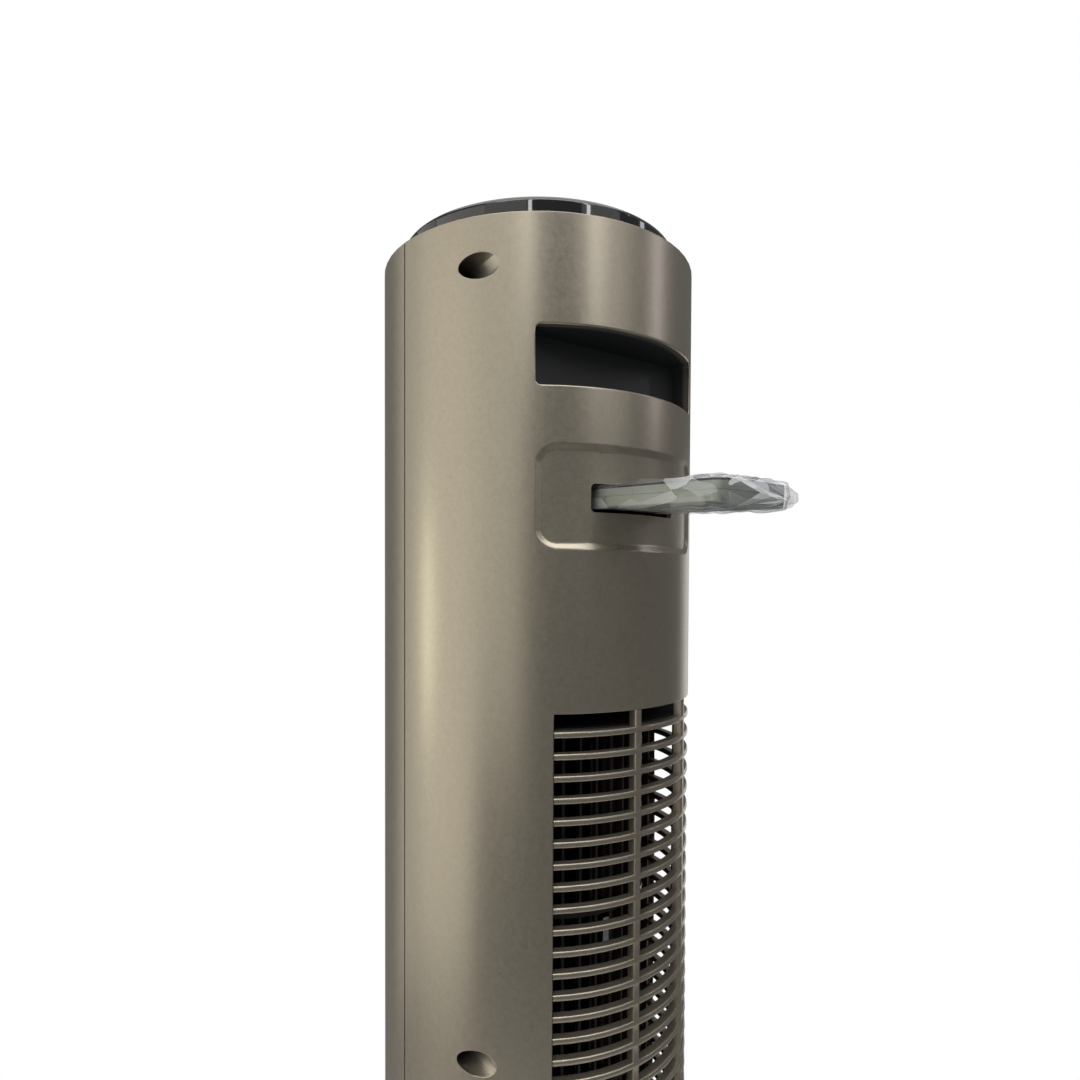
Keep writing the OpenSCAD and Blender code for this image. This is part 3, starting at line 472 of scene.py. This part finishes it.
wear(duct_black, "scroll_wall", "tongue", "duct_floor", "duct_roof")
wear(rubber, "bush_mount", "motor_dampers")
wear(bronze, "top_bush", "motor_bushes")
wear(steel, "motor_lower_can", "motor_upper_can", "motor_rotor", "motor_shaft", "wheel_hub")
wear(steel, "top_stub", "balance_clip")
wear(copper, "stator")
wear(wheel_black, "blower_wheel")


# ---- Electrics ----
# The mains board and its capacitor stand beside the motor. A sheathed loom climbs beside
# the duct to the control board under the cap.

circuit = speckled("circuit_board", (0.02, 0.14, 0.06), 0.4, 2000, 0.00001)
wear(circuit, "power_board", "control_board", "remote_board")
wear(black_plastic, "wire_loom", "capacitor")


# ---- Cap, window and buttons ----
# The gloss black cap plugs the column's upper end. Its flat deck carries a smoked window
# over the display, and five silver buttons in an arc, each with a printed sign.

wear(glossy("cap_gloss", 0.04), "top_cap")

smoked = Finish("smoked_window", (0.006, 0.006, 0.007), 0.04)
smoked.set({"Roughness": smoked.noise(900, 1) * 0.05 + 0.02})
wear(smoked, "display_window")

silver = speckled("key_silver", (0.6, 0.6, 0.61), 0.35, 4000, 0.00001, {"Metallic": 0.7})
print_black = speckled("print_black", (0.02, 0.02, 0.02), 0.5, 3000, 0.000005)
wear(silver, "power_button", "speed_button", "swing_button", "timer_button", "mode_button")
wear(silver, "remote_power_key", "remote_speed_key", "remote_swing_key", "remote_timer_key")


def arc(radius, start, end, count=14):
    """Points along an arc, from one angle to another, in degrees."""
    turns = [math.radians(start + (end - start) * k / count) for k in range(count + 1)]
    return [(radius * math.cos(t), radius * math.sin(t)) for t in turns]


def waves(height):
    """Points along a gently waving line."""
    return [(x / 10 - 1, height + 0.16 * math.sin(x * 0.9)) for x in range(21)]


signs = {
    "power": [arc(0.8, 125, 415), [(0, 0.25), (0, 1)]],
    "speed": [[(x, -0.7), (x, -0.7 + h)] for x, h in ((-0.7, 0.5), (0, 1), (0.7, 1.5))],
    "swing": [arc(0.9, 30, 150), [(-0.78, 0.0), (-0.78, 0.48), (-0.3, 0.55)],
              [(0.78, 0.0), (0.78, 0.48), (0.3, 0.55)]],
    "timer": [arc(0.9, 0, 360, count=24), [(0, 0.5), (0, 0), (0.4, -0.2)]],
    "mode": [waves(0.5), waves(0), waves(-0.5)],
}
sign_size, line_radius = 0.003, 0.00024


def printed(name, strokes, centre, body):
    """A sign of thin, rounded lines, half sunk in the face that it is printed on."""
    curve = bpy.data.curves.new(name, "CURVE")
    curve.dimensions = "3D"
    curve.bevel_depth, curve.bevel_resolution, curve.use_fill_caps = line_radius, 1, True
    for stroke in strokes:
        spline = curve.splines.new("POLY")
        spline.points.add(len(stroke) - 1)
        for point, (x, y) in zip(spline.points, stroke):
            point.co = (*(centre + Vector((x * sign_size, y * sign_size, 0))), 1)
    piece = bpy.data.objects.new(name, curve)
    bpy.context.scene.collection.objects.link(piece)
    curve.materials.append(print_black.material)
    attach(piece, body)


for name, strokes in signs.items():
    low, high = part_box(name + "_button")
    top = Vector(((low.x + high.x) / 2, (low.y + high.y) / 2, high.z - line_radius / 3))
    printed(name + "_sign", strokes, top, name + "_button")


# ---- Remote control ----
# A flat remote control of two silver halves, the upper one with a gloss black face, which
# droops a little in its loose slot. Its own axes are turned by the slot's droop.

slide = next(j for j in frame["joints"] if j["name"] == "remote_pull")
along = Vector(slide["axis"])
droop = Matrix.Rotation(math.atan2(along.z, along.y), 4, "X")
undroop = droop.inverted()


def own_box(node):
    """A node's lowest and highest corner along the remote control's own axes."""
    points = [undroop @ v.co for v in nodes[node].data.vertices]
    return [Vector(pick(p[k] for p in points) for k in range(3)) for pick in (min, max)]


lower_half, upper_half = own_box("remote_lower"), own_box("remote_upper")
face_z = upper_half[1].z - 0.0009

silver_color, silver_metallic = (0.3, 0.325, 0.28), 0.55
silver_fixed = {"Metallic": silver_metallic}
remote_silver = speckled("remote_silver", silver_color, 0.4, 3000, 0.00001, silver_fixed)
two_tone = Finish("remote_two_tone", silver_color, 0.4)
unturn = (-droop.to_euler().x, 0, 0)
turned = two_tone.node("Mapping", {}, {"Vector": two_tone.place, "Rotation": unturn})
on_face = two_tone.node("SeparateXYZ", {}, {0: turned}, 2) > face_z
grain = two_tone.noise(3000)
two_tone.set({
    "Base Color": two_tone.mix(on_face, two_tone.color, (0.012, 0.013, 0.015, 1)),
    "Metallic": (1 - on_face) * silver_metallic,
    "Roughness": (1 - on_face) * 0.3 + grain * 0.06 + 0.08,
})
wear(black_plastic, "remote_sleeve", "battery_tray")
wear(steel, "coin_cell")

halves = (
    ("remote_lower", lower_half[0].z, remote_silver),
    ("remote_upper", upper_half[1].z, two_tone),
)
for node, outer_z, finish in halves:
    bm = merged_copy(node)
    rims = [
        e for e in bm.edges
        if fold(e) > sharp_fold
        and all(abs((undroop @ v.co).z - outer_z) < 1e-5 for v in e.verts)
    ]
    rounded(bm, rims, 0.0007, 3)
    finished(node + "_half", bm, finish, "remote", node, 40)


# ---- Delivery bag ----
# A bag of thin clear film still closes round the remote control. It lies close in the slot,
# stands off in crinkles outside it, and ends in a pinched tail.

crinkles_per_metre = (170, 70, 170)

film = Finish("clear_film", (0.5, 0.5, 0.52), 0.1)
cells = film.node("Mapping", {}, {"Vector": film.place, "Scale": crinkles_per_metre})
cell_color = film.node("TexVoronoi", {}, {"Vector": cells, "Scale": 1}, "Color")
facet_gloss_and_reflection = film.node("SeparateXYZ", {}, {0: cell_color})
edges = film.node("TexVoronoi", {"feature": "DISTANCE_TO_EDGE"}, {"Vector": cells, "Scale": 1})
crease_glint = film.stretched(edges, 0.025, 0)
edge_on = film.node("LayerWeight", {}, {"Blend": 0.25}, "Facing")
outwards = film.node("SeparateXYZ", {}, {0: film.place}, 1)
bunched = film.stretched(outwards, body_radius + 0.026, body_radius + 0.044)
# Painted reflections on the film: each crinkle facet is coloured from dark purple to white at
# random, and its creases show as thin lines, painted glints. It also shows more where seen
# edge-on and where it bunches past the slot.
haze_and_glints = facet_gloss_and_reflection * facet_gloss_and_reflection * 0.12 + crease_glint * 0.16 + edge_on * 0.25 + bunched * facet_gloss_and_reflection * 0.35
film.set({
    "Base Color": film.mix(facet_gloss_and_reflection, (0.1, 0.085, 0.11, 1), (0.9, 0.92, 0.95, 1)),
    "Alpha": haze_and_glints + 0.06,
    "Roughness": facet_gloss_and_reflection * 0.15 + 0.07,
})
film.bump(edges, 0.0008)

slot_drop = 0.1127
slot_y = (undroop @ Vector((0, body_radius, rim - slot_drop))).y
close, above_keys, spacing = 0.0004, 0.0008, 0.0016
low = lower_half[0] - Vector((close, close, close))
high = Vector((lower_half[1].x + close, upper_half[1].y + close, upper_half[1].z + above_keys))


def cut_across(bm, place, normal):
    """Cuts every face that a plane crosses."""
    geometry = bm.verts[:] + bm.edges[:] + bm.faces[:]
    bmesh.ops.bisect_plane(bm, geom=geometry, plane_co=place, plane_no=normal)


bm = bmesh.new()
bmesh.ops.create_cube(bm, size=1)
bmesh.ops.scale(bm, vec=high - low, verts=bm.verts)
bmesh.ops.translate(bm, vec=(high + low) / 2, verts=bm.verts)
upright = [e for e in bm.edges if abs(e.verts[0].co.z - e.verts[1].co.z) > 0.001]
rounded(bm, upright, 0.004, 4)
for axis in (0, 1):
    normal = Vector((axis == 0, axis == 1, 0))
    for k in range(1, int((high[axis] - low[axis]) / spacing)):
        cut = Vector(low)
        cut[axis] += k * spacing
        cut_across(bm, cut, normal)
for k in (1, 2, 3):
    cut_across(bm, low.lerp(high, k / 4), (0, 0, 1))

# The tail: each step goes out and down, flatter and narrower round its own middle.
tail = (0.004, 0.62, 0.9), (0.004, 0.45, 0.84), (0.004, 0.35, 0.72), (0.0015, 0.3, 0.8)
tail_x, sag = 0.004, 0.25
end = [f for f in bm.faces if f.normal.y > 0.99]
middle = (low.z + high.z) / 2
for reach, flat, narrow in tail:
    grown = bmesh.ops.extrude_face_region(bm, geom=end)
    bmesh.ops.delete(bm, geom=end, context="FACES")
    end = [g for g in grown["geom"] if isinstance(g, bmesh.types.BMFace)]
    tips = list({v for f in end for v in f.verts})
    bmesh.ops.translate(bm, vec=(0, reach, -reach * sag), verts=tips)
    middle -= reach * sag
    for v in tips:
        v.co.z = middle + (v.co.z - middle) * flat
        v.co.x = tail_x + (v.co.x - tail_x) * narrow

# The crinkles: flat facets that stand off the most in their middles, and none in the slot.
stand_off, first_loose, fully_loose = 0.0022, 0.004, 0.024
bm.normal_update()
for v in bm.verts:
    outside = v.co.y - slot_y - first_loose
    loose = min(max(outside / (fully_loose - first_loose), 0), 1)
    spot = Vector(c * density for c, density in zip(v.co, crinkles_per_metre))
    near, next_near = noise.voronoi(spot)[0][:2]
    v.co += v.normal * (min(next_near - near, 0.8) * stand_off * loose)
bmesh.ops.recalc_face_normals(bm, faces=bm.faces)
bm.transform(droop)
bag = finished("film_bag", bm, film, "remote", "remote_bag", 28)
